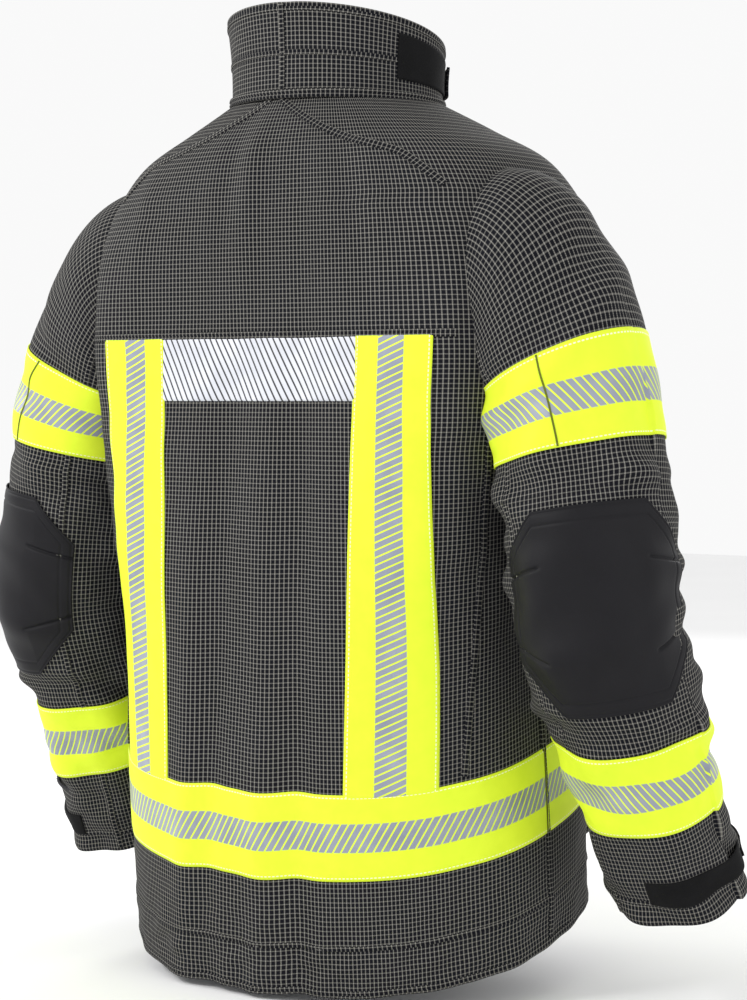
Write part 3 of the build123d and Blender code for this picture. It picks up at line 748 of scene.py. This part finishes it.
def make_bands():
    waist = patch(
        "waist_tape", torso_surface, (math.radians(348), math.radians(14)),
        (WAIST_T, WAIST_T + TAPE_WIDTH), 0.0012, 0.001, "yellow_tape", (560, 24), "torso",
        width=TAPE_WIDTH,
    )
    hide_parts("waist_band")
    for side, name in SIDES:
        join_angle = math.pi - side * math.radians(86)

        def over_tape(angle, t, offset=0.0):
            return torso_surface(angle, t, offset + 0.0013)

        join = [(join_angle, t) for t in np.linspace(WAIST_T, WAIST_T + TAPE_WIDTH, 5)]
        line = strip(f"waist_tape_join_{name}", over_tape, join, 0.0017, 0.0006, "thread", "torso")
        top, bottom = BACK_TAPE_X

        def edges(g, side=side):
            shape = g.shape
            start = np.empty(shape)
            end = np.empty(shape)
            for row in range(shape[0]):
                t = YOKE_T + (WAIST_T + 0.003 - YOKE_T) * g[row, 0]
                middle = top + (bottom - top) * g[row, 0]
                start[row] = torso_angle(side * middle + TAPE_WIDTH / 2, t)
                end[row] = torso_angle(side * middle - TAPE_WIDTH / 2, t)
            return start, end

        band = patch(
            f"back_tape_{name}", torso_surface, edges, (YOKE_T + 0.001, WAIST_T + 0.003), 0.0014,
            0.001, "upright_tape", (24, 260), "torso", flip=True, width=TAPE_WIDTH,
        )
        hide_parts(f"back_band_{name}")

    reach = BACK_TAPE_X[0] - TAPE_WIDTH / 2 + 0.001
    patch_angles = (torso_angle(reach, YOKE_T), torso_angle(-reach, YOKE_T))
    panel = patch(
        "back_panel_patch", torso_surface, patch_angles, (YOKE_T + 0.001, YOKE_T + 0.056), 0.0012,
        0.001, "silver_tape", (160, 30), "torso",
    )
    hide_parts("back_patch")


# ---------------------------------------------------------------- collar
def make_collar():
    angles = (math.radians(357), math.radians(3))
    outer = patch(
        "collar_outer", collar_surface, angles, (0, 1), 0.004, 0.003, "shell_fabric", (300, 40),
        "torso", tuck=0,
    )
    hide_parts("collar")
    facing = patch(
        "collar_inner", collar_surface, angles, (0, 1), 0.0008, 0.002, "liner_fabric", (200, 30),
        "torso", tuck=0,
    )
    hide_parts("collar_facing")

    def raised(angle, t, offset=0.0):
        return collar_surface(angle, t, offset + 0.004)

    ring = [(math.radians(a), 0.01) for a in range(357, 2, -6)]
    seam("collar_base_piping", ring, 0.008, 0.0030, raised)
    seam("collar_middle_seam", [(a, 0.46) for a, _ in ring], 0.0045, 0.0009, raised)
    seam("collar_top_seam", [(a, 0.93) for a, _ in ring], 0.0035, 0.0008, raised)
    back_line = [(math.radians(184), 0.03), (math.radians(184), 0.98)]
    seam("collar_back_seam", back_line, 0.005, 0.001, raised)

    def tilted(angle, t, offset=0.0):
        return raised(angle, 0.80 - 0.58 * t - 0.03 * (angle - 4.4), offset)

    patch_end, patch_start = math.radians(180 + 150), math.radians(180 + 68)
    loop = patch(
        "collar_loop", tilted, (patch_end, patch_start), (0, 1), 0.0018, 0.0016, "loop_fabric",
        (60, 20), "torso",
    )
    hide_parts("collar_loop_patch")
    tab = patch(
        "throat_tab_cloth", tilted, (math.radians(360 - 52), math.radians(360 + 30)), (0.02, 0.96),
        0.0062, 0.0026, "shell_fabric", (90, 20), "throat_tab",
    )
    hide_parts("throat_tab")


# ---------------------------------------------------------------- front closure
def make_front():
    hinge = np.array(JOINTS["storm_flap_open"]["pos_m"])
    along = np.array(JOINTS["storm_flap_open"]["axis"])
    outward = np.array((0, -along[2], along[1]))
    low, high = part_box("storm_flap")
    length = (high[2] - low[2]) / along[2] - 0.004
    top = hinge + along * (((high[2] - 0.002) - hinge[2]) / along[2])
    profile = [
        (0.0, -0.0002), (-0.010, 0.0006), (-0.030, 0.0), (-0.052, -0.0006), (-0.060, -0.0040),
        (-0.070, -0.0068), (-0.0716, -0.0078),
    ]
    xs, rises = np.array(profile).T
    columns, rows = 40, 200
    x = np.interp(np.linspace(0, 1, columns), np.linspace(0, 1, len(xs)), xs)
    rise = np.interp(np.linspace(0, 1, columns), np.linspace(0, 1, len(xs)), rises)
    down = np.linspace(0, length, rows)
    wave = 0.0009 * ripple(down[:, None], x[None, :], 0.04, 12) * (x[None, :] / -0.07)
    points = (
        top
        - down[:, None, None] * along
        + x[None, :, None] * np.array((1.0, 0, 0))
        + (rise[None, :] + wave)[..., None] * outward
    )
    if np.dot(grid_normals(points)[5, 5], outward) < 0:
        points = points[:, ::-1]
    flap = grid_object(
        "storm_flap_cloth", points, grid_uv(points), "shell_fabric", 0.0026, "liner_fabric"
    )
    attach(flap, "storm_flap")
    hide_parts("storm_flap")
    band_low, band_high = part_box("storm_flap_band")
    first = int(np.searchsorted(down, (top[2] - band_high[2]) / along[2]))
    last = int(np.searchsorted(down, (top[2] - band_low[2]) / along[2]))
    band_points = points[first : last + 1] + 0.0008 * outward
    uv = grid_uv(band_points)
    uv[..., 1] *= TAPE_WIDTH / uv[..., 1].max()
    band = grid_object("storm_flap_tape", band_points, uv, "yellow_tape", 0.0007)
    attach(band, "storm_flap")
    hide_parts("storm_flap_band")
    # the strip that the flap is sewn to, sloping from its edge down to the coat
    base_rows = []
    for share in np.linspace(0, 1, 12):
        reach = 0.0008 + 0.016 * share
        drop = -0.0125 * smooth_step(0, 1, share) - 0.003 * share
        base_rows.append(
            top - down[:, None] * along + reach * np.array((1.0, 0, 0)) + drop * outward
        )
    base = np.stack(base_rows, 1)
    if np.dot(grid_normals(base)[5, 5], outward) < 0:
        base = base[:, ::-1]
    root = grid_object("storm_flap_base", base, grid_uv(base), "shell_fabric", 0.002)
    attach(root, "torso")
    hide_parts("storm_flap_seam")


# ---------------------------------------------------------------- pockets
def level_of(z):
    """Distance down the cloth at the front where it reaches a height."""
    t = np.linspace(0.1, HEM_T, 400)
    return float(np.interp(-z, -torso_surface(math.radians(30), t)[:, 2], t))


def make_pocket(name, bag_node, flap_node, flap_body, depth, band_node=None):
    low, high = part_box(bag_node)
    flap_low, flap_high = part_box(flap_node)
    inset = 0.002
    x_left, x_right = low[0] + inset, high[0] - inset
    high_edge, low_edge = -flap_high[2] + 0.022, -low[2]
    top, bottom = level_of(-high_edge), level_of(-low_edge)
    angles = (
        torso_angle(x_left, (top + bottom) / 2, back=False),
        torso_angle(x_right, (top + bottom) / 2, back=False),
    )
    columns, rows = 90, 100

    def swollen(angle, t, offset=0.0):
        f = (angle - angles[0]) / (angles[1] - angles[0])
        g = (t - top) / (bottom - top)
        side = smooth_step(0, 0.10, f) * (1 - smooth_step(0.90, 1, f))
        foot = 1 - smooth_step(0.90, 1, g)
        belly = depth * (0.82 + 0.10 * np.sin(math.pi * np.clip(f, 0, 1)))
        crease = 0.0012 * ripple(f * 0.1, g * 0.12, 0.02, 41)
        return torso_surface(angle, t, (belly + crease) * side * foot + offset + 0.001)

    bag = patch(
        f"{name}_bag", swollen, angles, (top, bottom), 0, 0.002, "shell_fabric", (columns, rows),
        "torso", tuck=0,
    )
    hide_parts(bag_node)
    flap_bottom = level_of(flap_low[2])
    flap_top = level_of(flap_high[2])

    def lid(angle, t, offset=0.0):
        g = (t - flap_top) / (flap_bottom - flap_top)
        belly = depth + 0.0032 - 0.0008 * smooth_step(0.7, 1, g)
        return torso_surface(angle, t, belly + offset)

    cover = patch(
        f"{name}_flap", lid, angles, (flap_top, flap_bottom), 0, 0.0024, "shell_fabric", (60, 40),
        flap_body,
    )
    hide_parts(flap_node)

    header_top = level_of(high[2] + 0.004)

    def header(angle, t, offset=0.0):
        g = np.clip((t - header_top) / (flap_top - 0.0015 - header_top), 0, 1)
        return torso_surface(angle, t, 0.0006 + (depth + 0.0022) * smooth_step(0, 0.9, g) + offset)

    strip_piece = patch(
        f"{name}_header", header, angles, (header_top - 0.012, flap_top - 0.0015), 0, 0.0015,
        "shell_fabric", (60, 14), "torso", tuck=0,
    )
    if band_node:

        def over(angle, t, offset=0.0):
            return swollen(angle, t, offset + 0.0008)

        band = patch(
            f"{name}_tape", over, angles, (WAIST_T, WAIST_T + TAPE_WIDTH), 0.0006, 0.0008,
            "yellow_tape", (90, 24), "torso", width=TAPE_WIDTH,
        )
        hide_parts(band_node)


def make_pockets():
    for _, name in SIDES:
        make_pocket(
            f"pocket_{name}", f"waist_pocket_{name}", f"waist_pocket_flap_{name}",
            f"pocket_flap_{name}", 0.024, f"waist_pocket_band_{name}",
        )
        low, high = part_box(f"front_band_{name}")
        top, bottom = level_of(high[2]), level_of(low[2])
        middle = (low[0] + high[0]) / 2
        angles = (
            torso_angle(middle - TAPE_WIDTH / 2, top, back=False),
            torso_angle(middle + TAPE_WIDTH / 2, top, back=False),
        )
        band = patch(
            f"front_tape_{name}", torso_surface, angles, (top, bottom), 0.0014, 0.001,
            "upright_tape", (24, 90), "torso", flip=True, width=TAPE_WIDTH,
        )
        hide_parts(f"front_band_{name}")
    make_pocket("radio", "radio_pocket", "radio_pocket_flap", "radio_flap", 0.030)


def cross_shoulder(ob):
    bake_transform(ob)


def cross_elbow(ob):
    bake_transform(ob)


def make_sleeve(side, name):
    def surface(angle, v, offset=0.0):
        return sleeve_surface(side, angle, v, offset)

    turn = (0, 2 * math.pi) if side == 1 else (2 * math.pi, 0)

    def tube(piece, levels, rows, offset, thickness, material, inner=None):
        angle = np.linspace(turn[0], turn[1], 200)
        level = np.linspace(levels[0], levels[1], rows)
        aa, ll = np.meshgrid(angle, level)
        points = surface(aa, ll, offset)
        points[:, -1] = points[:, 0]
        v = ll
        u = np.broadcast_to(np.abs(angle - turn[0]) * SLEEVE_CLOTH_RADIUS, aa.shape)
        normal = grid_normals(points, True)
        middle = points[rows // 2].mean(axis=0)
        if np.dot(normal[rows // 2, 50], points[rows // 2, 50] - middle) < 0:
            points, u = points[:, ::-1], u[:, ::-1]
        uv = np.stack([u, v], -1)
        return grid_object(piece, points, uv, material, thickness, inner, closed=True)

    upper = tube(
        f"sleeve_upper_cloth_{name}", (0, SLEEVE_SPLIT_V), 130, 0, 0.003, "shell_fabric",
        "liner_fabric",
    )
    cross_shoulder(upper)
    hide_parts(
        f"sleeve_head_{name}", f"sleeve_upper_{name}", f"sleeve_liner_upper_{name}"
    )
    lower = tube(
        f"sleeve_lower_cloth_{name}", (SLEEVE_SPLIT_V, SLEEVE_END), 190, 0, 0.003, "shell_fabric",
        "liner_fabric",
    )
    cross_elbow(lower)
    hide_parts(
        f"sleeve_elbow_{name}", f"sleeve_lower_{name}", f"sleeve_liner_lower_{name}"
    )

    def band(piece, node, levels):
        angle = np.linspace(turn[0], turn[1], 200)
        level = np.linspace(levels[0], levels[1], 22)
        aa, ll = np.meshgrid(angle, level)
        points = surface(aa, ll, 0.0014)
        points[:, -1] = points[:, 0]
        u = np.broadcast_to(np.abs(angle - turn[0]) * SLEEVE_CLOTH_RADIUS, aa.shape)
        v = (ll - levels[0]) * TAPE_WIDTH / (levels[1] - levels[0])
        normal = grid_normals(points, True)
        if np.dot(normal[10, 50], points[10, 50] - points[10].mean(axis=0)) < 0:
            points, u = points[:, ::-1], u[:, ::-1]
        uv = np.stack([-side * u, v], -1)
        ob = grid_object(piece, points, uv, "yellow_tape", 0.001, closed=True)
        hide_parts(node)
        return ob

    def over_tape(angle, v, offset=0.0):
        return surface(angle, v, offset + 0.0015)

    upper_band = band(f"sleeve_tape_upper_{name}", f"sleeve_band_upper_{name}", UPPER_BAND_V)
    cross_shoulder(upper_band)
    lower_band = band(f"sleeve_tape_lower_{name}", f"sleeve_band_lower_{name}", LOWER_BAND_V)
    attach(lower_band, f"forearm_{name}")

    # elbow pad: an octagon with a double row of stitches and four sewn darts
    def pad_edges(g):
        cut = np.where(g < 0.24, 0.24 - g, np.where(g > 0.74, g - 0.74, 0)) * 1.9
        width = PAD_HALF_TURN * (1 - cut)
        return PAD_FACING - width, PAD_FACING + width

    def padding(angle, v, offset=0.0):
        g = (v - PAD_V[0]) / (PAD_V[1] - PAD_V[0])
        first, last = pad_edges(g)
        half = (last - first) / 2
        f = (angle - PAD_FACING) / PAD_HALF_TURN
        from_side = (half - np.abs(angle - PAD_FACING)) / PAD_HALF_TURN
        inward = np.minimum(from_side, np.minimum(g, 1 - g) * 1.8)
        plump = 0.0030 * smooth_step(0.13, 0.60, inward)
        groove = -0.0008 * (bump(inward, 0.030, 0.010) + bump(inward, 0.135, 0.010))
        darts = 0
        for level, lean in ((0.32, -0.10), (0.66, 0.12)):
            line = bump(g, level + lean * (1 - np.abs(f)), 0.008)
            darts = darts - 0.0024 * line * smooth_step(0.46, 0.52, np.abs(f))
        sag = 0.0026 * ripple(angle * 0.07, v, 0.03, 51) * smooth_step(0.1, 0.5, inward)
        return surface(angle, v, offset + plump + groove + darts + sag)

    pad = patch(
        f"elbow_pad_cloth_{name}", padding, pad_edges, PAD_V, 0.0030, 0.001, "pad_fabric",
        (180, 190),
    )
    cross_elbow(pad)
    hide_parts(f"elbow_pad_{name}")

    back = math.radians(82)
    loop = patch(
        f"cuff_loop_cloth_{name}", surface, (back, math.radians(-58)), CUFF_STRIP_V, 0.0016,
        0.0014, "loop_fabric", (90, 14), f"forearm_{name}",
    )
    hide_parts(f"cuff_loop_{name}")

    def tab_surface(angle, v, offset=0.0):
        sewn = 1 - smooth_step(math.radians(-88), math.radians(-58), angle)
        return surface(angle, v, offset - 0.0022 * sewn)

    tab = patch(
        f"cuff_tab_cloth_{name}", tab_surface, (math.radians(-34), math.radians(-108)),
        (CUFF_STRIP_V[0] + 0.001, CUFF_STRIP_V[1] - 0.001), 0.0046, 0.0022, "loop_fabric",
        (60, 14), f"cuff_tab_{name}",
    )
    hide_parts(f"cuff_tab_{name}")

    for label, degrees in (("back", 118), ("under", 200)):
        angle = math.radians(degrees)
        line = strip(
            f"sleeve_seam_{label}_{name}", surface,
            [(angle, SLEEVE_SPLIT_V), (angle, SLEEVE_END - 0.004)], 0.0055, 0.0010, "shell_fabric",
        )
        cross_elbow(line)
        line = strip(
            f"sleeve_top_seam_{label}_{name}", surface,
            [(angle, 0.05), (angle, SLEEVE_SPLIT_V)], 0.0055, 0.0010, "shell_fabric",
        )
        cross_shoulder(line)
    join = [(math.radians(72), v) for v in np.linspace(*UPPER_BAND_V, 5)]
    line = strip(f"tape_join_{name}", over_tape, join, 0.0017, 0.0006, "thread")
    cross_shoulder(line)
    edge = [(a, SLEEVE_END - 0.020) for a in np.linspace(0, 2 * math.pi, 30)]
    hem = strip(f"cuff_hem_{name}", surface, edge, 0.004, 0.0008, "shell_fabric", f"forearm_{name}")

    # ribbed knit wristlet inside the cuff
    joint = JOINTS[f"cuff_tab_{name}_open"]
    axis = np.array(joint["axis"]) * (1 if joint["axis"][2] > 0 else -1)
    axis = axis / np.linalg.norm(axis)
    mount = next(m for m in frame["record"]["mounts"] if m["name"] == f"wrist_{name}")
    centre = np.array(mount["pos_m"]) + np.array((0.004 * side, -0.012, 0))
    angle = np.linspace(0, 2 * math.pi, 181)
    level = np.linspace(-0.013, 0.046, 40)
    radius = WRISTLET_RADIUS + 0.013 * smooth_step(0.026, 0.046, level)
    ribs = 0.0005 * np.cos(angle * 60)
    sideways = np.array((1.0, 0, 0))
    upwards = np.cross(axis, sideways)
    ring = (radius[:, None] + ribs[None, :])[..., None]
    points = (
        centre
        + level[:, None, None] * axis
        + ring * (np.cos(angle)[:, None] * sideways + np.sin(angle)[:, None] * upwards)
    )
    points[:, -1] = points[:, 0]
    if np.dot(grid_normals(points, True)[5, 20], points[5, 20] - points[5].mean(axis=0)) < 0:
        points = points[:, ::-1]
    uv = np.stack(np.meshgrid(angle * WRISTLET_RADIUS, level), -1)
    knit = grid_object(f"wristlet_knit_{name}", points, uv, "knit", 0.0022, closed=True)
    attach(knit, f"forearm_{name}")
    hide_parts(f"wristlet_{name}")


def paint_cad_nodes():
    """The zip and the hanger loop keep their CAD shape and get their materials."""
    slots = {s["node"]: s["material_slot"] for s in frame["record"]["subparts"]}
    for node, slot in slots.items():
        ob = frame["nodes"][node]
        for index in range(len(ob.material_slots)):
            ob.material_slots[index].material = MATERIALS.get(slot, MATERIALS["shell_fabric"])


make_camera()
make_stage()
paint_cad_nodes()
make_torso()
make_seams()
make_bands()
make_collar()
make_front()
make_pockets()
for side, name in SIDES:
    make_sleeve(side, name)
